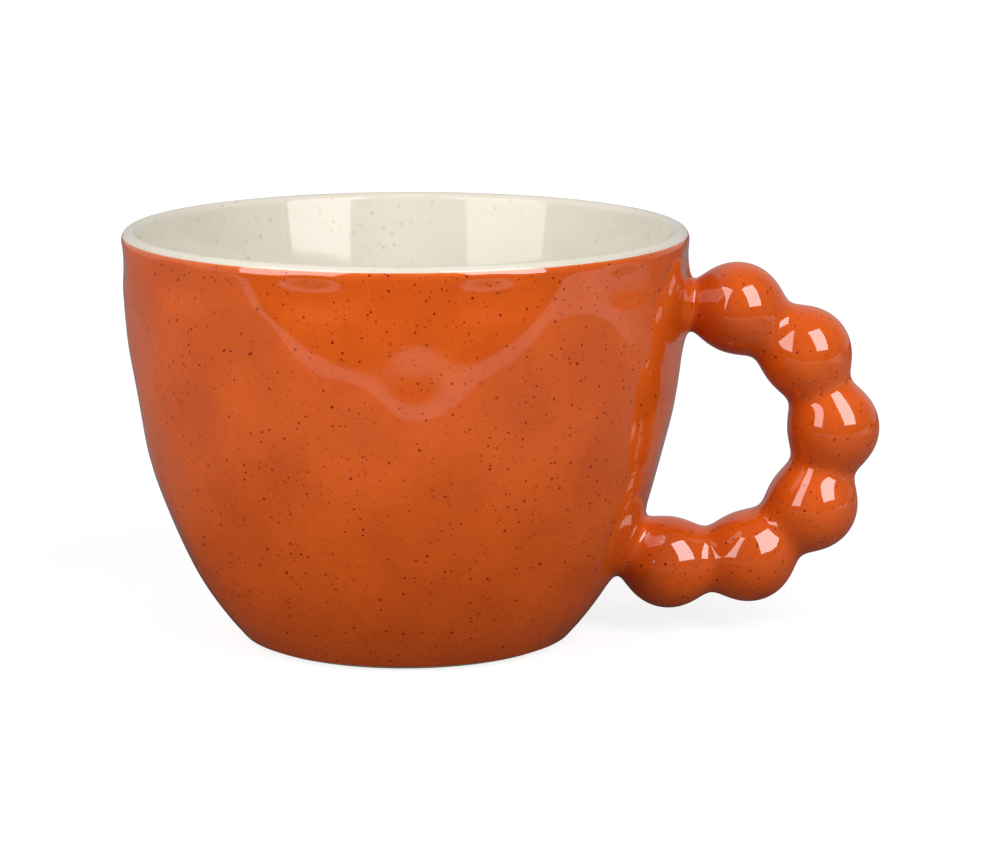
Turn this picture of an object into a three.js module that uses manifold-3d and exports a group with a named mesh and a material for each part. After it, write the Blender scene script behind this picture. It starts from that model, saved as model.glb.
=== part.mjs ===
// Breakfast cup: a wide stoneware cup with thumb-marked walls, a cream lining, an orange coat
// and a handle of clay beads luted end to end. Millimetres, +Z up, foot on Z = 0, handle towards +X.

import * as THREE from "three";
import { mergeVertices } from "three/addons/utils/BufferGeometryUtils.js";
import Module from "manifold-3d";

// Clay body, in millimetres and degrees, measured on the clay under its glaze
const BODY_HEIGHT = 83.8;
const LIP_RADIUS = 57.1;
const LIP_THICKNESS = 2.9;
const LIP_SHOULDER = 3.2; // softer rounding of the lip's outer side, below the lining's edge
const UPRIGHT_TAPER = 0.5; // how far the wall draws in along its upright line below the lip
const UPRIGHT_REACH = 28.8; // how far down the wall that line holds
const FOOT_RADIUS = 32.3; // where the line of the wall meets the table
const FOOT_SLOPE = 47.7; // rise of the wall as it leaves the foot
const HAUNCH_REACH = 30.2; // how far up the wall that rise holds
const FOOT_ROUND = 2; // cut back each way from the foot's corner
const FOOT_RING_WIDTH = 4.5;
const RECESS_DEPTH = 1.8;
const FLOOR_THICKNESS = 5;
const FLOOR_INSET = 12; // the flat of the inner floor ends this far inside the foot radius
const INNER_HAUNCH = 22; // how far out of that flat the inner curve heads
const INNER_LEAN = 8.5; // from upright, of the inner wall below its mouth
const INNER_REACH = 34; // how far down the wall that lean holds
const MOUTH_LEAN = 12.5; // of the inner wall at the lip
const MOUTH_DEPTH = 16; // over which the one lean turns into the other

// Glaze
const COAT = 0.4;
const LIP_BORDER = 25; // the lining ends this far up the outer rounding of the lip

// Thumb marks round the outer wall: a ring of low ones close under the lip, and staggered rows of round ones
const LIP_MARK_DEPTH = 0.6;
const LIP_MARK_HALF_WIDTH = 10.7;
const LIP_MARK_HALF_HEIGHT = 6;
const LIP_MARK_DROP = 6; // below the lip
const LIP_MARK_COUNT = 11;
const LIP_MARK_ANGLE = 15; // from the front towards the handle
const MARK_DEPTH = 0.41;
const MARK_RADIUS = 12.6;
const MARK_DROP = 20.6; // first row below the lip
const MARK_ROWS = 4;
const ROW_SPACING = 13;
const MARKS_PER_ROW = 10;
const MARK_ANGLE = 1.7; // from the front towards the handle, in the first row
const ROW_STAGGER = 0.6; // share of the spacing in a row

// Handle
const BEAD_COUNT = 6;
const BEAD_RADIUS = 9.4;
const WAIST_RADIUS = 7;
const WAIST_FILLET = 6.4;
const UPPER_ROOT_DEPTH = 14.9; // below the lip
const UPPER_ROOT_DROP = 8.5; // downward tilt of the handle's line where it leaves the wall
const UPPER_ROOT_LENGTH = 2.7; // clay wall to waist
const LOWER_ROOT_HEIGHT = 17.3;
const LOWER_ROOT_DROP = 18.5;
const LOWER_ROOT_LENGTH = 1.4;
const ROOT_FLARE = 2.6; // how far a root spreads over the wall
const SLIP_GAP = 0.3; // luting slip between pieces, left open

// Smoothness
const AROUND = 60;
const OUTSIDE_STEPS = 16;
const INSIDE_STEPS = 8;
const MOUTH_STEPS = 2;
const LIP_STEPS = 4;
const FOOT_STEPS = 4;
const BEAD_AROUND = 16;
const BEAD_RINGS = 10;
const FILLET_STEPS = 4;
const HALVINGS = 60; // passes of a search that halves its range
const LEAST_TURN = 0.001; // between two beads, in radians
const WELD_REACH = 0.0001;

const GLAZED = { roughness: 0.12, metalness: 0 };
const CLAY = new THREE.MeshStandardMaterial({ name: "clay", color: "#d8c3a4", roughness: 0.85, metalness: 0 });
const CREAM = new THREE.MeshStandardMaterial({ name: "cream_glaze", color: "#e7decd", ...GLAZED });
const ORANGE = new THREE.MeshStandardMaterial({ name: "orange_glaze", color: "#c95a1c", ...GLAZED });

const wasm = await Module();
wasm.setup();

const radians = THREE.MathUtils.degToRad;
const vec = (radius, height) => new THREE.Vector2(radius, height);

// The clay's surface from the foot up the outside, over the lip and down the inside to the axis

const lipHalf = LIP_THICKNESS / 2;
const softer = LIP_SHOULDER - lipHalf; // between the centres of the two roundings
const shoulder = vec(LIP_RADIUS - LIP_SHOULDER, BODY_HEIGHT - lipHalf - softer * Math.sin(radians(LIP_BORDER)));
const lipCentre = vec(shoulder.x + softer * Math.cos(radians(LIP_BORDER)), BODY_HEIGHT - lipHalf);
const lipEnd = Math.PI - radians(MOUTH_LEAN); // the rounding stops where it has the inner wall's lean
const floorTop = RECESS_DEPTH + FLOOR_THICKNESS;

function outsideOfClay() {
  const alongWall = vec(Math.cos(radians(FOOT_SLOPE)), Math.sin(radians(FOOT_SLOPE)));
  const corner = vec(FOOT_RADIUS, 0);
  const underside = vec(FOOT_RADIUS - FOOT_ROUND, 0);
  const wallStart = corner.clone().addScaledVector(alongWall, FOOT_ROUND);
  const haunch = corner.clone().addScaledVector(alongWall, HAUNCH_REACH);
  const upright = vec(LIP_RADIUS - UPRIGHT_TAPER, lipCentre.y - UPRIGHT_REACH);
  const wallEnd = vec(LIP_RADIUS, shoulder.y);
  const round = new THREE.QuadraticBezierCurve(underside, corner, wallStart);
  const wall = new THREE.CubicBezierCurve(wallStart, haunch, upright, wallEnd);
  return [...round.getPoints(FOOT_STEPS).slice(0, -1), ...wall.getSpacedPoints(OUTSIDE_STEPS)];
}

function lipOfClay() {
  const arc = new THREE.EllipseCurve(lipCentre.x, lipCentre.y, lipHalf, lipHalf, radians(LIP_BORDER), lipEnd);
  return arc.getPoints(LIP_STEPS).slice(0, -1);
}

function insideOfClay() {
  const down = (from, lean, drop) => vec(from.x - drop * Math.tan(radians(lean)), from.y - drop);
  const top = lipCentre.clone().add(vec(lipHalf * Math.cos(lipEnd), lipHalf * Math.sin(lipEnd)));
  const bend = down(top, MOUTH_LEAN, MOUTH_DEPTH / 2);
  const mouthEnd = down(bend, INNER_LEAN, MOUTH_DEPTH / 2);
  const upright = down(mouthEnd, INNER_LEAN, INNER_REACH);
  const flatEnd = vec(FOOT_RADIUS - FLOOR_INSET, floorTop);
  const haunch = vec(flatEnd.x + INNER_HAUNCH, floorTop);
  const mouth = new THREE.QuadraticBezierCurve(top, bend, mouthEnd);
  const wall = new THREE.CubicBezierCurve(mouthEnd, upright, haunch, flatEnd);
  return [...mouth.getPoints(MOUTH_STEPS).slice(0, -1), ...wall.getSpacedPoints(INSIDE_STEPS), vec(0, floorTop)];
}

// Each point moved out of the clay by a distance, square to the line through its neighbours
function grown(points, distance) {
  return points.map((point, k) => {
    const before = points[Math.max(k - 1, 0)];
    const after = points[Math.min(k + 1, points.length - 1)];
    const along = after.clone().sub(before).normalize();
    return vec(point.x + along.y * distance, point.y - along.x * distance);
  });
}

const outside = outsideOfClay();
const claySurface = [...outside, ...lipOfClay(), ...insideOfClay()];
const glazeSurface = grown(claySurface, COAT);
glazeSurface.at(-1).x = 0;
const border = outside.length; // first point of the lining
const coatFoot = FOOT_STEPS / 2; // the coat ends half-way round the foot's corner

// Radius of the unmarked clay at a height on the outside
function clayRadius(height) {
  const last = outside.length - 1;
  const found = outside.findIndex((point) => point.y > height);
  const upper = found < 0 ? last : Math.max(found, 1);
  const from = outside[upper - 1];
  const to = outside[upper];
  return from.x + ((to.x - from.x) * (height - from.y)) / (to.y - from.y);
}

const lipMarks = {
  count: LIP_MARK_COUNT,
  start: radians(LIP_MARK_ANGLE),
  middle: BODY_HEIGHT - LIP_MARK_DROP,
  halfWidth: LIP_MARK_HALF_WIDTH,
  halfHeight: LIP_MARK_HALF_HEIGHT,
  depth: LIP_MARK_DEPTH,
};
const wallMarks = Array.from({ length: MARK_ROWS }, (_, row) => ({
  count: MARKS_PER_ROW,
  start: radians(MARK_ANGLE) + (row * ROW_STAGGER * 2 * Math.PI) / MARKS_PER_ROW,
  middle: BODY_HEIGHT - MARK_DROP - row * ROW_SPACING,
  halfWidth: MARK_RADIUS,
  halfHeight: MARK_RADIUS,
  depth: MARK_DEPTH,
}));

// Depth of the nearest mark of a ring, a bowl with a rim shaped as an ellipse
function ringDepth(ring, angle, height) {
  const spacing = (2 * Math.PI) / ring.count;
  const places = (angle - ring.start) / spacing;
  const sideways = (places - Math.round(places)) * spacing * LIP_RADIUS;
  const across = (sideways / ring.halfWidth) ** 2;
  const up = ((height - ring.middle) / ring.halfHeight) ** 2;
  return ring.depth * Math.max(1 - across - up, 0) ** 2;
}

// Depth of the thumb marks at an angle from the front and a height
function thumbMark(angle, height) {
  return [lipMarks, ...wallMarks].reduce((depth, ring) => depth + ringDepth(ring, angle, height), 0);
}

// Solids

function welded(geometry) {
  geometry.deleteAttribute("normal");
  geometry.deleteAttribute("uv");
  return mergeVertices(geometry, WELD_REACH);
}

// A profile turned round the cup's axis, with the thumb marks pressed into the marked points
function turned(points, marked = []) {
  const geometry = new THREE.LatheGeometry(points, AROUND);
  geometry.rotateX(Math.PI / 2);
  const place = geometry.attributes.position;
  for (let k = 0; k < place.count; k++) {
    const point = points[k % points.length];
    if (!marked.includes(point)) continue;
    const angle = Math.atan2(place.getX(k), -place.getY(k));
    const pressed = 1 - thumbMark(angle, point.y) / point.x;
    place.setXY(k, place.getX(k) * pressed, place.getY(k) * pressed);
  }
  return welded(geometry);
}

function toManifold(geometry) {
  const shape = geometry.attributes.normal ? welded(geometry) : geometry;
  const vertProperties = new Float32Array(shape.attributes.position.array);
  const triVerts = new Uint32Array(shape.index.array);
  return new wasm.Manifold(new wasm.Mesh({ numProp: 3, vertProperties, triVerts }));
}

function fromManifold(solid) {
  const mesh = solid.getMesh();
  const geometry = new THREE.BufferGeometry();
  geometry.setAttribute("position", new THREE.BufferAttribute(mesh.vertProperties, 3));
  geometry.setIndex(new THREE.BufferAttribute(mesh.triVerts, 1));
  return geometry;
}

function turnedBody() {
  const ringInner = FOOT_RADIUS - FOOT_ROUND - FOOT_RING_WIDTH;
  const underside = [vec(0, RECESS_DEPTH), vec(ringInner - RECESS_DEPTH, RECESS_DEPTH), vec(ringInner, 0)];
  return turned([...underside, ...claySurface], outside);
}

// The glaze between two points of the clay's surface. Its profile follows the clay the way the body's does,
// so both share every facet, and the faces are then flipped to look out of the glaze.
function turnedCoat(from, to) {
  const under = claySurface.slice(from, to);
  const over = glazeSurface.slice(from, to).reverse();
  const loop = [...over, ...under];
  if (loop[0].x > 0) loop.push(loop[0]);
  const geometry = turned(loop, [...outside, ...glazeSurface.slice(0, border)]);
  geometry.index.array.reverse();
  return geometry;
}

function turnedBaseCoat() {
  const radius = FOOT_RADIUS - FOOT_ROUND - FOOT_RING_WIDTH - RECESS_DEPTH - SLIP_GAP;
  const under = RECESS_DEPTH - COAT;
  return turned([vec(0, under), vec(radius, under), vec(radius, RECESS_DEPTH), vec(0, RECESS_DEPTH)]);
}

// Handle: bead centres on an arc that starts and ends at the two roots

const halfPitch = Math.sqrt((BEAD_RADIUS + WAIST_FILLET) ** 2 - (WAIST_RADIUS + WAIST_FILLET) ** 2);

// Centre of the bead that a root carries, and the direction from it to the wall, in the plane of the handle
function rootLine(height, drop, length) {
  const outward = vec(Math.cos(radians(drop)), -Math.sin(radians(drop)));
  const foot = vec(clayRadius(height), height);
  return { bead: foot.addScaledVector(outward, length + halfPitch), inward: outward.negate() };
}

const upperRoot = rootLine(BODY_HEIGHT - UPPER_ROOT_DEPTH, UPPER_ROOT_DROP, UPPER_ROOT_LENGTH);
const lowerRoot = rootLine(LOWER_ROOT_HEIGHT, LOWER_ROOT_DROP, LOWER_ROOT_LENGTH);

// Beads stand one pitch apart on the arc whose chord joins the first bead to the last
function beadCentres() {
  const first = upperRoot.bead;
  const chord = lowerRoot.bead.clone().sub(first);
  const steps = BEAD_COUNT - 1;
  const span = (step) => (2 * halfPitch * Math.sin((steps * step) / 2)) / Math.sin(step / 2);
  let tight = (2 * Math.PI) / steps;
  let open = LEAST_TURN;
  for (let pass = 0; pass < HALVINGS; pass++) {
    const middle = (tight + open) / 2;
    if (span(middle) > chord.length()) open = middle;
    else tight = middle;
  }
  const radius = halfPitch / Math.sin(open / 2);
  const bulge = vec(-chord.y, chord.x).normalize();
  const centre = first.clone().addScaledVector(chord, 0.5);
  centre.addScaledVector(bulge, -radius * Math.cos((steps * open) / 2));
  const start = first.clone().sub(centre);
  return Array.from({ length: BEAD_COUNT }, (_, k) => start.clone().rotateAround(vec(0, 0), -k * open).add(centre));
}

const inPlane = (point) => new THREE.Vector3(point.x, 0, point.y);

// Turns a shape made along +Y so that it runs from a point in a direction, both in the handle's plane
function aimed(geometry, from, direction) {
  const turn = new THREE.Quaternion().setFromUnitVectors(new THREE.Vector3(0, 1, 0), inPlane(direction));
  geometry.applyQuaternion(turn);
  geometry.translate(from.x, 0, from.y);
  return geometry;
}

const jointReach = halfPitch - SLIP_GAP / 2; // bead centre to its luted face
const rootReach = 3 * BEAD_RADIUS; // bead centre to well inside the wall

// Half of the waist beside a bead: a hollow fillet that meets the ball and ends on the luted face
function halfWaist() {
  const hollow = vec(WAIST_RADIUS + WAIST_FILLET, halfPitch);
  const meet = Math.atan2(hollow.y, hollow.x);
  const stop = Math.asin((halfPitch - jointReach) / WAIST_FILLET);
  const points = [vec(0, 0)];
  for (let k = 0; k <= FILLET_STEPS; k++) {
    const angle = THREE.MathUtils.lerp(meet, stop, k / FILLET_STEPS);
    const spoke = vec(Math.cos(angle), Math.sin(angle));
    points.push(hollow.clone().addScaledVector(spoke, -WAIST_FILLET));
  }
  return new THREE.LatheGeometry([...points, vec(0, jointReach)], BEAD_AROUND);
}

// A ball with a waist towards each neighbour, cut square at both luted faces
function bead(centre, towards) {
  const ball = new THREE.SphereGeometry(BEAD_RADIUS, BEAD_AROUND, BEAD_RINGS);
  let solid = toManifold(ball.rotateX(Math.PI / 2));
  for (const direction of towards) {
    solid = solid.add(toManifold(aimed(halfWaist(), vec(0, 0), direction)));
    solid = solid.trimByPlane([-direction.x, 0, -direction.y], -jointReach);
  }
  return fromManifold(solid).translate(centre.x, 0, centre.y);
}

// Distance along a root's line to the clay wall, less the slip, for a line moved sideways
function wallDistance(from, direction) {
  let near = 0;
  let far = rootReach;
  const spot = new THREE.Vector3();
  for (let pass = 0; pass < HALVINGS; pass++) {
    const middle = (near + far) / 2;
    spot.copy(from).addScaledVector(direction, middle);
    const clay = clayRadius(spot.z) - thumbMark(Math.atan2(spot.x, -spot.y), spot.z);
    if (Math.hypot(spot.x, spot.y) > clay + SLIP_GAP) near = middle;
    else far = middle;
  }
  return near;
}

// A root: flares from the waist to the wall, every line of it drawn out until it stands on the wall
function root({ bead: centre, inward }) {
  const start = jointReach + SLIP_GAP;
  const widest = WAIST_RADIUS + ROOT_FLARE;
  const points = [vec(0, 0)];
  for (let k = 0; k <= FILLET_STEPS; k++) {
    const angle = ((Math.PI / 2) * k) / FILLET_STEPS;
    points.push(vec(widest - ROOT_FLARE * Math.cos(angle), Math.sin(angle)));
  }
  points.push(vec(widest / 2, 1), vec(0, 1));
  const geometry = aimed(new THREE.LatheGeometry(points, BEAD_AROUND), vec(0, 0), inward);
  const direction = inPlane(inward);
  const place = geometry.attributes.position;
  const spot = new THREE.Vector3();
  for (let k = 0; k < place.count; k++) {
    spot.fromBufferAttribute(place, k);
    const share = spot.dot(direction);
    spot.addScaledVector(direction, -share).add(inPlane(centre));
    const length = wallDistance(spot, direction) - start;
    spot.addScaledVector(direction, start + share * length);
    place.setXYZ(k, spot.x, spot.y, spot.z);
  }
  return welded(geometry);
}

// The hole that a root needs in the outer coat
function rootWindow({ bead: centre, inward }) {
  const radius = WAIST_RADIUS + ROOT_FLARE + SLIP_GAP;
  const rod = new THREE.CylinderGeometry(radius, radius, rootReach, BEAD_AROUND).translate(0, rootReach / 2, 0);
  return toManifold(aimed(rod, centre, inward));
}

// Assembly
const centres = beadCentres();
const outerCoat = [upperRoot, lowerRoot].reduce(
  (coat, line) => coat.subtract(rootWindow(line)),
  toManifold(turnedCoat(coatFoot, border + 1)),
);
const pieces = [
  ["cup_body", turnedBody(), CLAY],
  ["lining_glaze", turnedCoat(border, claySurface.length), CREAM],
  ["outer_glaze", fromManifold(outerCoat), ORANGE],
  ["base_glaze", turnedBaseCoat(), ORANGE],
  ["upper_handle_root", root(upperRoot), ORANGE],
  ["lower_handle_root", root(lowerRoot), ORANGE],
];
centres.forEach((centre, k) => {
  const before = k > 0 ? centres[k - 1].clone().sub(centre).normalize() : upperRoot.inward;
  const after = k < BEAD_COUNT - 1 ? centres[k + 1].clone().sub(centre).normalize() : lowerRoot.inward;
  pieces.push([`handle_bead_${k + 1}`, bead(centre, [before, after]), ORANGE]);
});

const group = new THREE.Group();
for (const [name, geometry, material] of pieces) {
  const mesh = new THREE.Mesh(geometry, material.clone());
  mesh.name = name;
  group.add(mesh);
}

// The whole footprint, handle and all, stands centred on the origin
const middle = new THREE.Box3().setFromObject(group).getCenter(new THREE.Vector3());
for (const mesh of group.children) mesh.geometry.translate(-middle.x, -middle.y, 0);

export default group;
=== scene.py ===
"""Stoneware breakfast cup: thumb-marked wall, cream lining, speckled orange coat, handle of joined beads.

Shapes are worked out in millimetres and degrees about the cup's own axis, foot on zero, handle towards +X.
They become metres in the shared frame when a mesh is made.
"""

import bpy
import numpy as np
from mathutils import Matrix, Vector


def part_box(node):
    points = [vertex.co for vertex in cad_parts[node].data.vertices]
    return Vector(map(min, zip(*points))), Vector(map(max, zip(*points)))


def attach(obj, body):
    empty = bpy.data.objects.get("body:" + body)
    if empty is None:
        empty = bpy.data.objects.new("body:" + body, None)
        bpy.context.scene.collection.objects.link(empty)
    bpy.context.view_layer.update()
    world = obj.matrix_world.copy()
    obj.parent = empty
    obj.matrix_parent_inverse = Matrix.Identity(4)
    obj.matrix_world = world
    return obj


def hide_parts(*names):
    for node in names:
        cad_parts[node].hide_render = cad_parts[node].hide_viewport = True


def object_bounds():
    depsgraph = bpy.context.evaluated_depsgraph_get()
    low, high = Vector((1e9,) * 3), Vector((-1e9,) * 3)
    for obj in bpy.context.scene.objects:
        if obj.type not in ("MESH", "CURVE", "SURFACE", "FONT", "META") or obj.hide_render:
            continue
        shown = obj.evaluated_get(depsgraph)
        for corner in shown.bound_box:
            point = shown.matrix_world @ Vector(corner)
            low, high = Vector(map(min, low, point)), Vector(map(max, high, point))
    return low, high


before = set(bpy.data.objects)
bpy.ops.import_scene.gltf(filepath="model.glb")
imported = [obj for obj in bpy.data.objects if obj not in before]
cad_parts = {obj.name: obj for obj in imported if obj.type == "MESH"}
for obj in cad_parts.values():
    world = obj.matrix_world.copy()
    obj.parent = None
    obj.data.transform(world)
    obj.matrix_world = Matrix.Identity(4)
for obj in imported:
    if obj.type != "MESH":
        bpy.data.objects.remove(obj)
cad_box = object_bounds()

MM = 0.001

# Clay body
BODY_HEIGHT = 83.8
LIP_RADIUS = 57.1
LIP_THICKNESS = 2.9
LIP_SHOULDER = 3.2
UPRIGHT_TAPER = 0.5
UPRIGHT_REACH = 28.8
FOOT_RADIUS = 32.3
FOOT_SLOPE = 47.7
HAUNCH_REACH = 30.2
FOOT_ROUND = 2
FOOT_RING_WIDTH = 4.5
RECESS_DEPTH = 1.8
FLOOR_THICKNESS = 5
FLOOR_INSET = 12
INNER_HAUNCH = 22
INNER_LEAN = 8.5
INNER_REACH = 34
MOUTH_LEAN = 12.5
MOUTH_DEPTH = 16

# Glaze
COAT = 0.35
LIP_BORDER = 25
COAT_FOOT_SHARE = 0.95  # the coat starts this share of the way round the foot's corner

# Thumb marks
LIP_MARK_DEPTH = 0.6
LIP_MARK_HALF_WIDTH = 10.7
LIP_MARK_HALF_HEIGHT = 6
LIP_MARK_DROP = 6
LIP_MARK_COUNT = 11
LIP_MARK_ANGLE = 15
MARK_DEPTH = 0.41
MARK_RADIUS = 12.6
MARK_DROP = 20.6
MARK_ROWS = 4
ROW_SPACING = 13
MARKS_PER_ROW = 10
MARK_ANGLE = 1.7
ROW_STAGGER = 0.6

# Handle
BEAD_COUNT = 6
BEAD_RADIUS = 9.4
BEAD_SETBACK = 0.05  # keeps the softened balls inside the solids' box
WAIST_RADIUS = 7
WAIST_FILLET = 6.4
UPPER_ROOT_DEPTH = 14.9
UPPER_ROOT_DROP = 8.5
UPPER_ROOT_LENGTH = 2.7
LOWER_ROOT_HEIGHT = 17.3
LOWER_ROOT_DROP = 18.5
LOWER_ROOT_LENGTH = 1.4
ROOT_SINK = 0.12  # a root's thin edge dips this far under the coat
FLARE_WIDTH = 12.5  # from a root's line to its thin edge
FLARE_SETBACK = 3  # from the waist back to where the flare is swept from
FLARE_REACH = 16
ROOT_SEAT = 0.3  # the closed end of a root lies this far under its edge
SLIP_GAP = 0.3  # between the coat in the recess and the recess's edge

# Smoothness
AROUND = 300
CURVE_STEPS = 600  # a wall's curve is drawn this finely before it is spaced evenly
WALL_STEPS = 132
INSIDE_STEPS = 80
MOUTH_STEPS = 24
LIP_STEPS = 22
BORDER_STEPS = 10
FOOT_STEPS = 16
FLOOR_STEPS = 24
RECESS_STEPS = 4
RIM_STEPS = 6
ROLL_STEPS = 8
BEAD_AROUND = 96
BEAD_RINGS = 22
FLARE_RINGS = 20
HALVINGS = 44
LEAST_TURN = 0.001  # radians from bead to bead, where the search for the turn begins
NUDGE = 0.01  # step along each axis from which the handle's slope is taken
SHARP_ANGLE = 40

base_low, base_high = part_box("base_glaze")
AXIS = np.array([(base_low.x + base_high.x) / 2, (base_low.y + base_high.y) / 2, cad_box[0].z])


# Curves

def heading(angle):
    """Step of length one at an angle above level, in degrees: across is its cosine, up is its sine."""
    return np.array([np.cos(np.radians(angle)), np.sin(np.radians(angle))])


def bezier(corners, steps):
    """Points of a Bezier curve at even shares: a point at that share of each line between two corners, then
    of each line between those points, until one point is left."""
    share = np.linspace(0, 1, steps + 1)[:, None]
    level = [np.broadcast_to(np.asarray(corner, float), (steps + 1, 2)) for corner in corners]
    while len(level) > 1:
        level = [start + (end - start) * share for start, end in zip(level, level[1:])]
    return level[0]


def spaced(points, steps):
    """The same line in even steps of length."""
    length = np.concatenate([[0], np.cumsum(np.hypot(*np.diff(points, axis=0).T))])
    places = np.linspace(0, length[-1], steps + 1)
    return np.stack([np.interp(places, length, column) for column in points.T], axis=1)


def arc(centre, radius, start, end, steps):
    """Points of a circle from one angle to another, in degrees."""
    angle = np.radians(np.linspace(start, end, steps + 1))
    return np.asarray(centre) + radius * np.stack([np.cos(angle), np.sin(angle)], axis=1)


def grown(points, distance):
    """Each point moved square to the line through its neighbours, to the right of the way the line runs."""
    along = np.gradient(points, axis=0)
    along /= np.linalg.norm(along, axis=1, keepdims=True)
    return points + distance * np.stack([along[:, 1], -along[:, 0]], axis=1)


# The clay's outline as radius and height, from the foot up the outside, over the lip and down to the axis

LIP_HALF = LIP_THICKNESS / 2
SOFTER = (LIP_SHOULDER - LIP_HALF) * heading(LIP_BORDER)
SHOULDER_CENTRE = np.array([LIP_RADIUS - LIP_SHOULDER, BODY_HEIGHT - LIP_HALF - SOFTER[1]])
LIP_CENTRE = SHOULDER_CENTRE + SOFTER
FOOT_CORNER = np.array([FOOT_RADIUS, 0.0])
FOOT_RISE = heading(FOOT_SLOPE)
WALL_START = FOOT_CORNER + FOOT_ROUND * FOOT_RISE
FLOOR_TOP = RECESS_DEPTH + FLOOR_THICKNESS
RING_INNER = FOOT_RADIUS - FOOT_ROUND - FOOT_RING_WIDTH


def foot_corner():
    """Rounded corner of the foot, from the ring it stands on to the start of the wall."""
    return bezier([FOOT_CORNER - [FOOT_ROUND, 0], FOOT_CORNER, WALL_START], FOOT_STEPS)


def outer_wall():
    """Cubic curve that leaves the foot at its slope and comes up to the lip nearly upright."""
    haunch = FOOT_CORNER + HAUNCH_REACH * FOOT_RISE
    upright = [LIP_RADIUS - UPRIGHT_TAPER, LIP_CENTRE[1] - UPRIGHT_REACH]
    end = [LIP_RADIUS, SHOULDER_CENTRE[1]]
    return spaced(bezier([WALL_START, haunch, upright, end], CURVE_STEPS), WALL_STEPS)


def inner_wall():
    """From the lip's rounding down the inside: a parabola that turns from the mouth's lean to the wall's,
    a cubic curve to the flat of the floor, and the flat to the axis."""
    def down(start, lean, drop):
        return start - drop * np.array([np.tan(np.radians(lean)), 1])
    top = CLAY_LIP[-1]
    bend = down(top, MOUTH_LEAN, MOUTH_DEPTH / 2)
    mouth_end = down(bend, INNER_LEAN, MOUTH_DEPTH / 2)
    upright = down(mouth_end, INNER_LEAN, INNER_REACH)
    flat_end = [FOOT_RADIUS - FLOOR_INSET, FLOOR_TOP]
    haunch = [flat_end[0] + INNER_HAUNCH, FLOOR_TOP]
    mouth = bezier([top, bend, mouth_end], MOUTH_STEPS)
    wall = spaced(bezier([mouth_end, upright, haunch, flat_end], CURVE_STEPS), INSIDE_STEPS)
    flat = np.linspace(flat_end, [0, FLOOR_TOP], FLOOR_STEPS + 1)
    return np.concatenate([mouth, wall[1:], flat[1:]])


CLAY_FOOT = foot_corner()
CLAY_WALL = outer_wall()
CLAY_BORDER = arc(SHOULDER_CENTRE, LIP_SHOULDER, 0, LIP_BORDER, BORDER_STEPS)
CLAY_LIP = arc(LIP_CENTRE, LIP_HALF, LIP_BORDER, 180 - MOUTH_LEAN, LIP_STEPS)
CLAY_OUTSIDE = np.concatenate([CLAY_FOOT[:-1], CLAY_WALL, CLAY_BORDER[1:]])
CLAY_INSIDE = np.concatenate([CLAY_LIP[:-1], inner_wall()])
CLAY_OUTLINE = np.concatenate([CLAY_OUTSIDE, CLAY_INSIDE[1:]])
GLAZE_OUTLINE = grown(CLAY_OUTLINE, COAT)
GLAZE_OUTLINE[-1, 0] = 0
BORDER = len(CLAY_OUTSIDE) - 1
COAT_START = round(FOOT_STEPS * COAT_FOOT_SHARE)


# Thumb marks

def ring_depth(angle, height, count, first, drop, half_width, half_height, deepest):
    """Depth of the nearest press of a ring of them: the deepest times the square of one less the squares of
    how far across and up the point lies in the press."""
    spacing = 2 * np.pi / count
    places = (angle - np.radians(first)) / spacing
    sideways = (places - np.round(places)) * spacing * LIP_RADIUS
    bowl = 1 - (sideways / half_width) ** 2 - ((height - BODY_HEIGHT + drop) / half_height) ** 2
    return deepest * np.maximum(bowl, 0) ** 2


def thumb_marks(angle, height):
    """Depth of all presses at an angle from the front and a height: the ring under the lip and the rows,
    each of which is turned on from the one above it."""
    depth = ring_depth(angle, height, LIP_MARK_COUNT, LIP_MARK_ANGLE, LIP_MARK_DROP,
                       LIP_MARK_HALF_WIDTH, LIP_MARK_HALF_HEIGHT, LIP_MARK_DEPTH)
    for row in range(MARK_ROWS):
        first = MARK_ANGLE + row * ROW_STAGGER * 360 / MARKS_PER_ROW
        drop = MARK_DROP + row * ROW_SPACING
        depth = depth + ring_depth(angle, height, MARKS_PER_ROW, first, drop,
                                   MARK_RADIUS, MARK_RADIUS, MARK_DEPTH)
    return depth


# Meshes

def grid_faces(rows, columns, rows_close):
    """Four-sided faces between neighbouring rows of a grid whose columns close on themselves."""
    row, column = np.mgrid[0:rows if rows_close else rows - 1, 0:columns]
    next_row, next_column = (row + 1) % rows, (column + 1) % columns
    corners = [row * columns + column, row * columns + next_column,
               next_row * columns + next_column, next_row * columns + column]
    return np.stack(corners, axis=-1).reshape(-1, 4)


def fan_faces(ring, tip, flip):
    """Three-sided faces from each edge of a ring to one tip."""
    following = np.roll(ring, -1)
    pair = (following, ring) if flip else (ring, following)
    return np.stack([*pair, np.full_like(ring, tip)], axis=-1)


def add_object(name, data):
    """A mesh, lamp or camera put into the scene."""
    thing = bpy.data.objects.new(name, data)
    bpy.context.scene.collection.objects.link(thing)
    return thing


def add_piece(name, points, faces, material, node, slot, normals=None):
    """A piece of the cup from points in millimetres about its axis, which rides on the one body and stands
    for a node."""
    mesh = bpy.data.meshes.new(name)
    corners = [corner for group in faces for corner in group.tolist()]
    mesh.from_pydata((points * MM + AXIS).tolist(), [], corners)
    mesh.polygons.foreach_set("use_smooth", np.ones(len(mesh.polygons), bool))
    if normals is None:
        mesh.set_sharp_from_angle(angle=np.radians(SHARP_ANGLE))
    else:
        mesh.normals_split_custom_set(normals.tolist())
    mesh.materials.append(material)
    piece = add_object(name, mesh)
    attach(piece, "root")
    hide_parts(node)


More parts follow.
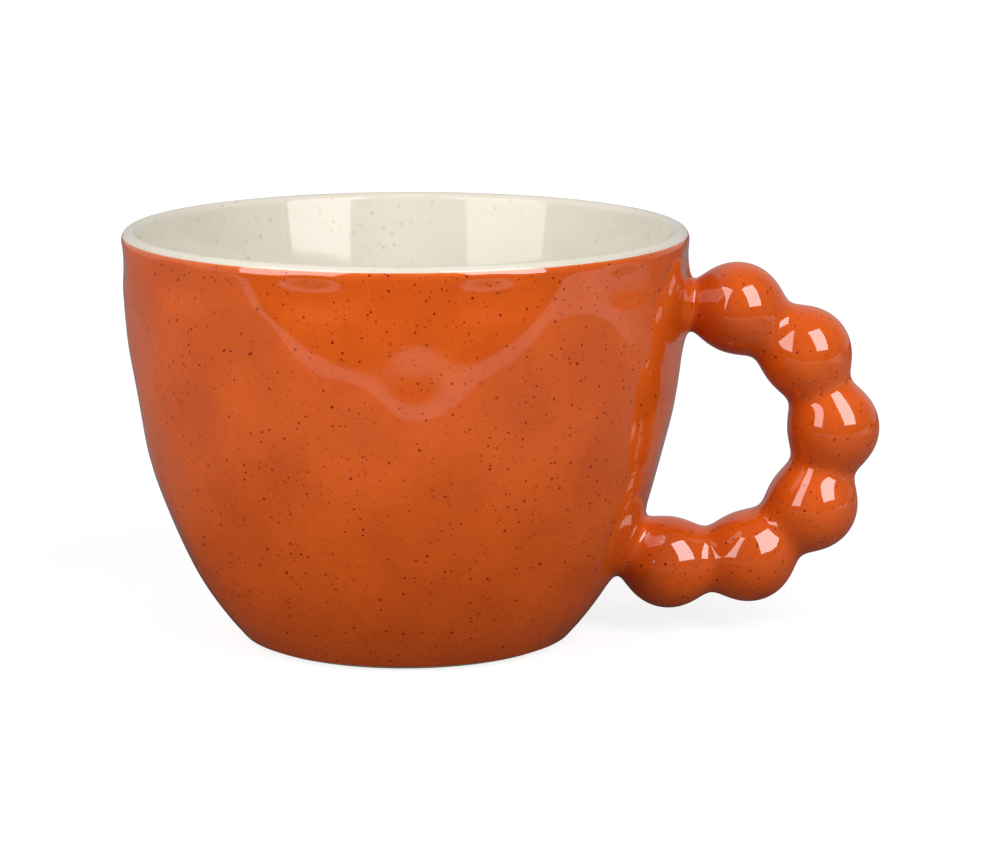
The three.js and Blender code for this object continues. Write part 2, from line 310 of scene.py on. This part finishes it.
def turned(outline, marked=None):
    """A closed outline turned round the axis: across is radius times the sine of the angle from the front,
    depth is less radius times its cosine, and marked points are pressed in by the thumb marks.
    An outline that starts and ends on the axis closes there in two fans, and any other closes on itself."""
    on_axis = outline[0, 0] == 0
    rows = outline[1:-1] if on_axis else outline
    angle = np.linspace(0, 2 * np.pi, AROUND, endpoint=False)[None, :]
    radius = np.repeat(rows[:, :1], AROUND, axis=1)
    height = np.repeat(rows[:, 1:], AROUND, axis=1)
    if marked is not None:
        pressed = marked[1:-1] if on_axis else marked
        radius = radius - pressed[:, None] * thumb_marks(angle, height)
    points = np.stack([radius * np.sin(angle), -radius * np.cos(angle), height], axis=-1).reshape(-1, 3)
    faces = [grid_faces(len(rows), AROUND, rows_close=not on_axis)]
    if on_axis:
        tips = [[0, 0, outline[0, 1]], [0, 0, outline[-1, 1]]]
        first = np.arange(AROUND)
        last = first + (len(rows) - 1) * AROUND
        faces += [fan_faces(first, len(points), flip=True), fan_faces(last, len(points) + 1, flip=False)]
        points = np.concatenate([points, tips])
    return points, faces


def body_shape():
    """Clay outline from the foot recess round the foot ring, up the wall, over the lip and down to the floor,
    turned with the presses on its outside."""
    recess_edge = [RING_INNER - RECESS_DEPTH, RECESS_DEPTH]
    recess = np.linspace([0, RECESS_DEPTH], recess_edge, RECESS_STEPS + 1)
    bevel = np.array([[RING_INNER, 0.0]])
    outline = np.concatenate([recess, bevel, CLAY_OUTLINE])
    marked = np.zeros(len(outline))
    start = len(recess) + len(bevel)
    marked[start:start + len(CLAY_OUTSIDE)] = 1
    return turned(outline, marked)


def outer_coat_shape():
    """Glaze from the upper end of the foot's corner to the lip's border, its lower end rolled over in half a
    circle like a drip edge."""
    over = GLAZE_OUTLINE[COAT_START:BORDER + 1]
    under = CLAY_OUTLINE[COAT_START:BORDER + 1]
    middle = (over[0] + under[0]) / 2
    outward = over[0] - middle
    angle = np.radians(np.linspace(-180, 0, ROLL_STEPS + 1))[1:-1, None]
    sideways = np.array([-outward[1], outward[0]])
    roll = middle + np.cos(angle) * outward + np.sin(angle) * sideways
    outline = np.concatenate([over, under[::-1], roll])
    return turned(outline, np.ones(len(outline)))


def lining_shape():
    """Glaze from the lip's border over the lip and down over the floor, on the clay below it."""
    over = GLAZE_OUTLINE[BORDER:]
    under = CLAY_OUTLINE[BORDER:]
    return turned(np.concatenate([under[::-1], over]))


def base_coat_shape():
    """Thin disc of glaze in the recess of the foot, with a rounded rim."""
    radius = RING_INNER - RECESS_DEPTH - SLIP_GAP
    rim_start = [radius - COAT, RECESS_DEPTH - COAT]
    under = np.linspace([0, RECESS_DEPTH - COAT], rim_start, RECESS_STEPS + 1)
    rim = arc([radius - COAT, RECESS_DEPTH], COAT, -90, 0, RIM_STEPS)
    return turned(np.concatenate([under, rim[1:], [[0, RECESS_DEPTH]]]))


# Handle

HALF_PITCH = np.sqrt((BEAD_RADIUS + WAIST_FILLET) ** 2 - (WAIST_RADIUS + WAIST_FILLET) ** 2)
SOFTNESS = (np.hypot(HALF_PITCH, WAIST_RADIUS) - BEAD_RADIUS) / np.log(2)


def root_line(height, drop, length):
    """Centre of the bead that a root carries and the way from it to the wall, in the handle's plane."""
    outward = heading(-drop)
    foot = np.array([np.interp(height, CLAY_WALL[:, 1], CLAY_WALL[:, 0]), height])
    return foot + outward * (length + HALF_PITCH), -outward


def bead_centres(first, last):
    """Beads one pitch apart on the arc from the first to the last, whose turn from bead to bead is found by
    halving."""
    chord = last - first
    steps = BEAD_COUNT - 1
    tight, wide = 2 * np.pi / steps, LEAST_TURN
    for _ in range(HALVINGS):
        turn = (tight + wide) / 2
        span = 2 * HALF_PITCH * np.sin(steps * turn / 2) / np.sin(turn / 2)
        tight, wide = (tight, turn) if span > np.linalg.norm(chord) else (turn, wide)
    radius = HALF_PITCH / np.sin(wide / 2)
    bulge = np.array([-chord[1], chord[0]]) / np.linalg.norm(chord)
    centre = first + chord / 2 - bulge * radius * np.cos(steps * wide / 2)
    angle = -wide * np.arange(BEAD_COUNT)[:, None]
    across, up = first - centre
    return centre + np.concatenate(
        [across * np.cos(angle) - up * np.sin(angle), across * np.sin(angle) + up * np.cos(angle)], axis=1)


def in_space(points):
    """Points of the handle's plane in space."""
    return np.stack([points[:, 0], np.zeros(len(points)), points[:, 1]], axis=1)


UPPER_BEAD, UPPER_INWARD = root_line(BODY_HEIGHT - UPPER_ROOT_DEPTH, UPPER_ROOT_DROP, UPPER_ROOT_LENGTH)
LOWER_BEAD, LOWER_INWARD = root_line(LOWER_ROOT_HEIGHT, LOWER_ROOT_DROP, LOWER_ROOT_LENGTH)
CENTRES = bead_centres(UPPER_BEAD, LOWER_BEAD)
CENTRES_IN_SPACE = in_space(CENTRES)
GLAZE_WALL = GLAZE_OUTLINE[COAT_START:BORDER]
WALL_UPRIGHT = np.gradient(GLAZE_WALL[:, 1]) / np.hypot(*np.gradient(GLAZE_WALL, axis=0).T)


def wall_distance(points):
    """Distance out of the glazed wall: how far the radius is past the wall's, times the wall's uprightness
    there."""
    across, depth, height = np.moveaxis(points, -1, 0)
    radius = np.interp(height, GLAZE_WALL[:, 1], GLAZE_WALL[:, 0])
    radius = radius - thumb_marks(np.arctan2(across, -depth), height)
    return (np.hypot(across, depth) - radius) * np.interp(height, GLAZE_WALL[:, 1], WALL_UPRIGHT)


def handle_distance(points):
    """Soft join of the six balls and the wall: less the softness times the logarithm of the sum, over balls
    and wall, of e to the power of less each distance over the softness. The surface is where this is zero."""
    spread = np.linalg.norm(points[..., None, :] - CENTRES_IN_SPACE, axis=-1) - (BEAD_RADIUS - BEAD_SETBACK)
    total = np.exp(-spread / SOFTNESS).sum(axis=-1)
    total = total + np.exp(-(wall_distance(points) + ROOT_SINK) / SOFTNESS)
    return -SOFTNESS * np.log(total)


def handle_normals(points):
    """Way that the soft join's distance grows fastest, from small steps along each axis."""
    steps = NUDGE * np.eye(3)
    slope = [handle_distance(points + step) - handle_distance(points - step) for step in steps]
    return unit(np.stack(slope, axis=-1))


def where_crossed(start, way, near, far, inside_first):
    """Points along rays where the soft join's surface is crossed, by halving the stretch that holds the
    crossing."""
    near = np.full(way.shape[:-1], float(near))
    far = np.full(way.shape[:-1], float(far))
    for _ in range(HALVINGS):
        middle = (near + far) / 2
        inside = handle_distance(start + way * middle[..., None]) < 0
        ahead = inside == inside_first
        near, far = np.where(ahead, middle, near), np.where(ahead, far, middle)
    return start + way * near[..., None]


def ring_ways(along):
    """Ways out of the handle's line all round it: in the plane of the handle and across it, square to the
    line."""
    side = np.stack([along[:, 1], np.zeros(len(along)), -along[:, 0]], axis=1)[:, None, :]
    angle = np.linspace(0, 2 * np.pi, BEAD_AROUND, endpoint=False)[None, :, None]
    return np.cos(angle) * side + np.sin(angle) * np.array([0.0, 1.0, 0.0])


def unit(vectors):
    """Vectors of length one."""
    return vectors / np.linalg.norm(vectors, axis=-1, keepdims=True)


def capped(rows, caps):
    """Rings joined into a skin, closed by a flat fan at each end. Gives points, faces and the corners'
    normals, which follow the soft join on the skin, so that no line shows where two pieces meet."""
    count = len(rows)
    points = rows.reshape(-1, 3)
    first = np.arange(BEAD_AROUND)
    last = first + (count - 1) * BEAD_AROUND
    skin = grid_faces(count, BEAD_AROUND, rows_close=False)
    ends = [fan_faces(first, len(points), flip=True), fan_faces(last, len(points) + 1, flip=False)]
    skin_normals = handle_normals(points)[skin.ravel()]
    points = np.concatenate([points, caps])
    end_normals = []
    for fan in ends:
        corners = points[fan]
        flat = unit(np.cross(corners[:, 1] - corners[:, 0], corners[:, 2] - corners[:, 0]))
        end_normals.append(np.repeat(flat, 3, axis=0))
    return points, [skin, *ends], np.concatenate([skin_normals, *end_normals])


def bead_rings(centre, before, after):
    """Rings of one bead from joint to joint. Their centres run from the joint to the ball's centre and on,
    and their planes turn from square to one joint, through the plane between, to square to the other."""
    share = np.linspace(-1, 1, 2 * BEAD_RINGS + 1)[:, None]
    middle = unit(unit(after) - unit(before))
    ends = np.where(share < 0, -before, after)
    along = unit(middle + (ends - middle) * np.abs(share))
    line = centre + np.where(share < 0, before * -share, after * share) * HALF_PITCH
    start = in_space(line)[:, None, :]
    return where_crossed(start, ring_ways(along), 0, 2 * BEAD_RADIUS, inside_first=True)


def bead_shape(k):
    """One ball with its two half waists."""
    before = unit(CENTRES[k - 1] - CENTRES[k]) if k > 0 else UPPER_INWARD
    after = unit(CENTRES[k + 1] - CENTRES[k]) if k < BEAD_COUNT - 1 else LOWER_INWARD
    rows = bead_rings(CENTRES[k], before, after)
    joints = in_space(CENTRES[k] + np.array([before, after]) * HALF_PITCH)
    return capped(rows, joints)


def root_shape(centre, inward, along):
    """Flare from a bead's joint to the wall, swept from points beside the joint: the ways turn from the
    joint's ring towards the wall, and each stops at the soft join. The last ring is set in under the coat."""
    joint = centre + inward * HALF_PITCH
    middle = in_space(joint[None])
    ways = ring_ways(np.array([along]))
    ring = where_crossed(middle[:, None, :], ways, 0, 2 * BEAD_RADIUS, inside_first=True)[0]
    aim = in_space(inward[None])
    swept_from = in_space((joint - inward * FLARE_SETBACK)[None]) + FLARE_WIDTH * ways[0]
    turn = np.linspace(0, 1, FLARE_RINGS + 1)[1:, None, None] * np.pi / 2
    towards = unit(unit(ring - swept_from)[None] * np.cos(turn) + aim * np.sin(turn))
    flare = where_crossed(swept_from[None], towards, 0, FLARE_REACH, inside_first=False)
    seat = flare[-1] + aim * ROOT_SEAT
    rows = np.concatenate([ring[None], flare, seat[None]])
    caps = np.concatenate([middle, seat.mean(axis=0)[None]])
    return rows, caps


def upper_root_shape():
    """Root at the lip's end of the handle, whose line runs on out of the wall."""
    rows, caps = root_shape(UPPER_BEAD, UPPER_INWARD, -UPPER_INWARD)
    return capped(rows[::-1], caps[::-1])


def lower_root_shape():
    """Root at the foot's end of the handle, whose line runs into the wall."""
    return capped(*root_shape(LOWER_BEAD, LOWER_INWARD, LOWER_INWARD))


# Materials: colours are linear red, green and blue, and sizes and depths are in millimetres

ORANGE = (0.705, 0.1, 0.0067)
LIGHT_ORANGE = (0.785, 0.117, 0.0081)
DEEP_ORANGE = (0.6, 0.071, 0.0053)
# Painted light: lighter orange for the band just under the lip's top, where the rounding turns up towards the
# lamps
PAINTED_LIP_LIGHT = (0.86, 0.22, 0.05)
IRON_BROWN = (0.21, 0.007, 0.0005)
CREAM = (0.725, 0.673, 0.572)
LIGHT_CREAM = (0.755, 0.703, 0.602)
TAN = (0.62, 0.53, 0.34)
PALE_TAN = (0.63, 0.55, 0.38)
CLAY = (0.68, 0.55, 0.39)
LIGHT_CLAY = (0.78, 0.66, 0.5)

ORANGE_CLOUD = 14
MOTTLE = 2.2
MOTTLE_SHARE = 0.18
# Painted light: a band of lighter orange just under the lip's top, where the rounding turns up towards the
# lamps
LIP_LIGHT_FULL = 0.4  # under the lip's top
LIP_LIGHT_END = 1.0
LIP_LIGHT_SHARE = 0.6
WANDER = 0.5  # how far the painted light band wanders up and down
WANDER_SIZE = 3
IRON_SPECKS = ((1.75, 0.25, 0.35), (3.3, 0.31, 0.55), (1.2, 0.145, 0.15))  # cell, radius, faintest
CREAM_CLOUD = 18
SPECK_PATCH = 16
TAN_SPECKS = ((2.2, 0.4, TAN), (3.6, 0.48, PALE_TAN))  # cell, radius, tint
FAINTEST_TAN = 0.15
TAN_SOFTNESS = 0.7
RIPPLE = 1.6
ORANGE_RIPPLE_DEPTH = 0.0012
CREAM_RIPPLE_DEPTH = 0.001
GRAIN = 0.5
GRAIN_DEPTH = 0.06

# Stretches of a noise, or of chance, over which a pattern comes in
BROAD = (0.3, 0.7)
NARROW = (0.35, 0.65)
SCATTERED = (0.36, 0.56)
CHANCE = (0.15, 0.9)


def new_material(name):
    """An empty node material with its shader and the place of each point on the cup, in metres."""
    material = bpy.data.materials.new(name)
    material.use_nodes = True
    tree = material.node_tree
    place = tree.nodes.new("ShaderNodeTexCoord").outputs["Object"]
    return material, tree, tree.nodes["Principled BSDF"], place


def set_inputs(node, **values):
    """Fixed values on a node's own sockets, named with an underscore for each space."""
    for name, value in values.items():
        node.inputs[name.replace("_", " ")].default_value = value


def noise(tree, place, size, detail=3.0):
    """Soft cloudy noise whose blots are about a given size."""
    node = tree.nodes.new("ShaderNodeTexNoise")
    set_inputs(node, Scale=1 / (size * MM), Detail=detail)
    tree.links.new(place, node.inputs["Vector"])
    return node.outputs["Fac"]


def ramp(tree, value, start, end, low=0.0, high=1.0, smooth=True):
    """A value mapped from one stretch to another, held at the ends."""
    node = tree.nodes.new("ShaderNodeMapRange")
    node.interpolation_type = "SMOOTHSTEP" if smooth else "LINEAR"
    for name, number in (("From Min", start), ("From Max", end), ("To Min", low), ("To Max", high)):
        node.inputs[name].default_value = number
    tree.links.new(value, node.inputs["Value"])
    return node.outputs["Result"]


def maths(tree, operation, first, second):
    """Two values joined by an operation. Either may be a plain number."""
    node = tree.nodes.new("ShaderNodeMath")
    node.operation = operation
    for socket, value in zip(node.inputs, (first, second)):
        if isinstance(value, (int, float)):
            socket.default_value = value
        else:
            tree.links.new(value, socket)
    return node.outputs["Value"]


def blended(tree, share, first, second):
    """Two colours blended by a share of the second. Either may be a plain colour."""
    node = tree.nodes.new("ShaderNodeMix")
    node.data_type = "RGBA"
    tree.links.new(share, node.inputs["Factor"])
    colour_sockets = [socket for socket in node.inputs if socket.type == "RGBA"]
    for socket, colour in zip(colour_sockets, (first, second)):
        if isinstance(colour, tuple):
            socket.default_value = (*colour, 1)
        else:
            tree.links.new(colour, socket)
    return next(socket for socket in node.outputs if socket.type == "RGBA")


def specks(tree, place, cell, radius, faintest, softness=0.35):
    """Share of a speck at each point: grains strewn one to a cell through the glaze, cut by its surface, each
    with a strength of its own between the faintest and full."""
    node = tree.nodes.new("ShaderNodeTexVoronoi")
    set_inputs(node, Scale=1 / (cell * MM), Randomness=1.0)
    tree.links.new(place, node.inputs["Vector"])
    edge = radius / cell
    shape = ramp(tree, node.outputs["Distance"], edge * (1 - softness), edge * (1 + softness), 1, 0)
    chance = tree.nodes.new("ShaderNodeSeparateColor")
    tree.links.new(node.outputs["Color"], chance.inputs["Color"])
    strength = ramp(tree, chance.outputs["Red"], *CHANCE, faintest, 1, smooth=False)
    return maths(tree, "MULTIPLY", shape, strength)


def surface_relief(tree, shader, height, depth):
    """Fine relief of a given depth, from a height between nothing and one."""
    node = tree.nodes.new("ShaderNodeBump")
    set_inputs(node, Strength=1.0, Distance=depth * MM)
    tree.links.new(height, node.inputs["Height"])
    tree.links.new(node.outputs["Normal"], shader.inputs["Normal"])


def place_along(tree, place, axis):
    """How far a place lies along one axis of the frame, in metres."""
    node = tree.nodes.new("ShaderNodeSeparateXYZ")
    tree.links.new(place, node.inputs["Vector"])
    return node.outputs[axis]


def orange_glaze():
    """Glossy orange with clouds of thicker and thinner colour, iron specks, and painted light: a band of
    lighter orange just under the lip's top, where the rounding turns up towards the lamps."""
    material, tree, shader, place = new_material("speckled_orange_glaze")
    set_inputs(shader, Roughness=0.05, IOR=1.8)
    clouds = ramp(tree, noise(tree, place, ORANGE_CLOUD), *NARROW)
    mottle = ramp(tree, noise(tree, place, MOTTLE), *BROAD)
    colour = blended(tree, clouds, ORANGE, LIGHT_ORANGE)
    colour = blended(tree, maths(tree, "MULTIPLY", mottle, MOTTLE_SHARE), colour, DEEP_ORANGE)
    # Painted light: lighter orange just under the lip's top, wandering up and down, where the rounding turns
    # up towards the lamps
    wander = maths(tree, "MULTIPLY", noise(tree, place, WANDER_SIZE), WANDER * MM)
    height = maths(tree, "ADD", place_along(tree, place, "Z"), wander)
    lip_light = ramp(tree, height, (BODY_HEIGHT - LIP_LIGHT_END) * MM, (BODY_HEIGHT - LIP_LIGHT_FULL) * MM)
    colour = blended(tree, maths(tree, "MULTIPLY", lip_light, LIP_LIGHT_SHARE), colour, PAINTED_LIP_LIGHT)
    for cell, radius, faintest in IRON_SPECKS:
        colour = blended(tree, specks(tree, place, cell, radius, faintest), colour, IRON_BROWN)
    tree.links.new(colour, shader.inputs["Base Color"])
    surface_relief(tree, shader, noise(tree, place, RIPPLE, detail=1.0), ORANGE_RIPPLE_DEPTH)
    return material


def cream_glaze():
    """Glossy warm white with soft tan specks here and there."""
    material, tree, shader, place = new_material("cream_glaze")
    set_inputs(shader, Roughness=0.06, IOR=1.45)
    clouds = ramp(tree, noise(tree, place, CREAM_CLOUD), *BROAD)
    colour = blended(tree, clouds, CREAM, LIGHT_CREAM)
    patches = ramp(tree, noise(tree, place, SPECK_PATCH), *SCATTERED)
    for cell, radius, tint in TAN_SPECKS:
        strewn = specks(tree, place, cell, radius, FAINTEST_TAN, TAN_SOFTNESS)
        colour = blended(tree, maths(tree, "MULTIPLY", strewn, patches), colour, tint)
    tree.links.new(colour, shader.inputs["Base Color"])
    surface_relief(tree, shader, noise(tree, place, RIPPLE, detail=1.0), CREAM_RIPPLE_DEPTH)
    return material


def bare_clay():
    """Dry fired clay with fine grain."""
    material, tree, shader, place = new_material("bare_clay")
    set_inputs(shader, Roughness=0.85)
    grain = noise(tree, place, GRAIN)
    colour = blended(tree, ramp(tree, grain, *BROAD), CLAY, LIGHT_CLAY)
    tree.links.new(colour, shader.inputs["Base Color"])
    surface_relief(tree, shader, grain, GRAIN_DEPTH)
    return material


# The cup

orange, cream, clay = orange_glaze(), cream_glaze(), bare_clay()
add_piece("clay_body", *body_shape(), clay, "cup_body", "clay")
add_piece("cream_lining", *lining_shape(), cream, "lining_glaze", "cream_glaze")
add_piece("orange_coat", *outer_coat_shape(), orange, "outer_glaze", "orange_glaze")
add_piece("foot_recess_coat", *base_coat_shape(), orange, "base_glaze", "orange_glaze")
for name, shape, node in (("upper_root", upper_root_shape, "upper_handle_root"),
                          ("lower_root", lower_root_shape, "lower_handle_root")):
    points, faces, normals = shape()
    add_piece(name, points, faces, orange, node, "orange_glaze", normals)
for k in range(BEAD_COUNT):
    points, faces, normals = bead_shape(k)
    add_piece(f"bead_{k + 1}", points, faces, orange, f"handle_bead_{k + 1}", "orange_glaze", normals)


# Camera, lamps and stage

CAMERA_DISTANCE = 740
CAMERA_HEIGHT = 185.2
CAMERA_PAN = 0.0258  # radians to the right
CAMERA_PITCH = 0.1912  # radians down
FOCAL_PIXELS = 3685
IMAGE_WIDTH = 1000
NEAREST_SEEN = 10
LAMP_DISTANCE = 1100
FLOOR_REACH = 3000
WHITE = (1, 1, 1, 1)
FLOOR_GREY = (0.3, 0.3, 0.3, 1)
NEAR_WHITE = 0.82  # of full white, close to the cup
WHITE_START = 100
WHITE_END = 800
CARD_LIFT = 0.5
TABLE_EDGE = -198
EDGE_WIDTH = 28
EDGE_REACH = 600
SIDE_CARD_START = 285
SHADE_START = 40  # from the axis, under the cup
SHADE_END = 170
PALE_SIDE = (-0.4, 1, -0.4)  # way in which the studio grows paler
PALE_REACH = 0.5
DIM_STUDIO = 0.1
PALE_STUDIO = 0.49


def add_camera():
    """Camera at the photograph's place: in front of the axis, turned a little to the right and down."""
    camera = bpy.data.cameras.new("camera")
    camera.sensor_fit = "HORIZONTAL"
    camera.lens = FOCAL_PIXELS / IMAGE_WIDTH * camera.sensor_width
    camera.clip_start = NEAREST_SEEN * MM
    seen_from = add_object("camera", camera)
    seen_from.location = AXIS + np.array([0, -CAMERA_DISTANCE, CAMERA_HEIGHT]) * MM
    ahead = Vector((np.sin(CAMERA_PAN) * np.cos(CAMERA_PITCH),
                    np.cos(CAMERA_PAN) * np.cos(CAMERA_PITCH), -np.sin(CAMERA_PITCH)))
    seen_from.rotation_euler = ahead.to_track_quat("-Z", "Y").to_euler()
    bpy.context.scene.camera = seen_from


def add_softbox(name, azimuth, elevation, size, power):
    """Soft rectangular lamp that looks at the middle of the cup, from an azimuth right of the camera's side.
    Its size is in metres and its power in watts."""
    lamp = bpy.data.lights.new(name, "AREA")
    lamp.shape = "RECTANGLE"
    lamp.size, lamp.size_y = size
    lamp.energy = power
    azimuth, elevation = np.radians([azimuth, elevation])
    outward = Vector((np.sin(azimuth) * np.cos(elevation),
                      -np.cos(azimuth) * np.cos(elevation), np.sin(elevation)))
    box = add_object(name, lamp)
    box.location = Vector(AXIS) + Vector((0, 0, BODY_HEIGHT / 2 * MM)) + outward * (LAMP_DISTANCE * MM)
    box.rotation_euler = outward.to_track_quat("Z", "Y").to_euler()


def add_flat(name, across, depth, height, material):
    """A flat sheet of the stage, whose reach across and in depth is given about the cup's axis."""
    corners = [(x, y, height) for x, y in ((across[0], depth[0]), (across[1], depth[0]),
                                           (across[1], depth[1]), (across[0], depth[1]))]
    mesh = bpy.data.meshes.new(name)
    mesh.from_pydata((np.array(corners) * MM + AXIS).tolist(), [], [(0, 1, 2, 3)])
    mesh.materials.append(material)
    flat = add_object(name, mesh)
    return flat


def distance_from_cup(tree, place):
    """Distance from the foot of the cup's axis in metres."""
    apart = tree.nodes.new("ShaderNodeVectorMath")
    apart.operation = "DISTANCE"
    apart.inputs[1].default_value = AXIS
    tree.links.new(place, apart.inputs[0])
    return apart.outputs["Value"]


def floor_paint():
    """Pale paint, shown white to the camera and in reflections, on which the cup's shadow still falls. The
    white grows with the distance from the cup, so that it is full where the lamps no longer reach."""
    material, tree, shader, place = new_material("floor_paint")
    set_inputs(shader, Base_Color=FLOOR_GREY, Roughness=0.9, Specular_IOR_Level=0.0, Emission_Color=WHITE)
    white = ramp(tree, distance_from_cup(tree, place), WHITE_START * MM, WHITE_END * MM, NEAR_WHITE, 1)
    paths = tree.nodes.new("ShaderNodeLightPath").outputs
    shown = maths(tree, "ADD", paths["Is Camera Ray"], paths["Is Glossy Ray"])
    shown = maths(tree, "ADD", shown, paths["Is Transmission Ray"])
    tree.links.new(maths(tree, "MULTIPLY", shown, white), shader.inputs["Emission Strength"])
    material.cycles.emission_sampling = "NONE"
    return material


def glow(name, strength):
    """Even light of a card that the gloss mirrors."""
    material = bpy.data.materials.new(name)
    material.use_nodes = True
    tree = material.node_tree
    tree.nodes.remove(tree.nodes["Principled BSDF"])
    light = tree.nodes.new("ShaderNodeEmission")
    set_inputs(light, Strength=strength)
    tree.links.new(light.outputs["Emission"], tree.nodes["Material Output"].inputs["Surface"])
    material.cycles.emission_sampling = "NONE"
    return material


def table_glow(name, shaded, open_light, fade_start, fade_end, share_behind):
    """Table as the gloss sees it: dim beside the foot, where the cup shades it, lighter further out, and
    changing to a share of that behind the cup."""
    material = glow(name, open_light)
    tree = material.node_tree
    place = tree.nodes.new("ShaderNodeTexCoord").outputs["Object"]
    near = ramp(tree, distance_from_cup(tree, place), SHADE_START * MM, SHADE_END * MM, shaded, open_light)
    behind = ramp(tree, place_along(tree, place, "Y"), fade_start * MM, fade_end * MM, 1, share_behind)
    tree.links.new(maths(tree, "MULTIPLY", near, behind), tree.nodes["Emission"].inputs["Strength"])
    return material


def add_card(name, across, depth, material):
    """A card just above the floor that shows only in the gloss of the glaze."""
    card = add_flat(name, across, depth, CARD_LIFT, material)
    card.visible_camera = card.visible_diffuse = card.visible_transmission = card.visible_shadow = False


def add_surroundings():
    """Studio around the cup: pale behind it and on its left, dim in front, on its right and overhead."""
    world = bpy.data.worlds.new("studio")
    bpy.context.scene.world = world
    world.use_nodes = True
    tree = world.node_tree
    backdrop = tree.nodes["Background"]
    way = tree.nodes.new("ShaderNodeVectorMath")
    way.operation = "DOT_PRODUCT"
    way.inputs[1].default_value = PALE_SIDE
    tree.links.new(tree.nodes.new("ShaderNodeTexCoord").outputs["Generated"], way.inputs[0])
    set_inputs(backdrop, Color=WHITE)
    light = ramp(tree, way.outputs["Value"], -PALE_REACH, PALE_REACH, DIM_STUDIO, PALE_STUDIO)
    tree.links.new(light, backdrop.inputs["Strength"])


add_camera()
add_flat("floor", (-FLOOR_REACH, FLOOR_REACH), (-FLOOR_REACH, FLOOR_REACH), 0, floor_paint())
table = table_glow("table_glow", shaded=0.045, open_light=0.187,
                   fade_start=-60, fade_end=260, share_behind=1.15)
side = table_glow("side_glow", shaded=0.5, open_light=0.5,
                  fade_start=-60, fade_end=160, share_behind=0.22)
edge = glow("edge_glow", strength=0.55)
dark = glow("dark_glow", strength=0.046)
edge_end = TABLE_EDGE - EDGE_WIDTH
add_card("table_card", (-FLOOR_REACH, SIDE_CARD_START), (TABLE_EDGE, FLOOR_REACH), table)
add_card("edge_card", (-EDGE_REACH, EDGE_REACH), (edge_end, TABLE_EDGE), edge)
add_card("dark_card", (-FLOOR_REACH, FLOOR_REACH), (-FLOOR_REACH, edge_end), dark)
add_card("side_card", (SIDE_CARD_START, FLOOR_REACH), (TABLE_EDGE, FLOOR_REACH), side)
add_softbox("right_softbox", azimuth=41.3, elevation=35.3, size=(0.6, 0.95), power=9.6)
add_softbox("left_softbox", azimuth=-48.8, elevation=32, size=(0.79, 1.1), power=9.5)
add_surroundings()
bpy.context.scene.view_settings.view_transform = "Standard"
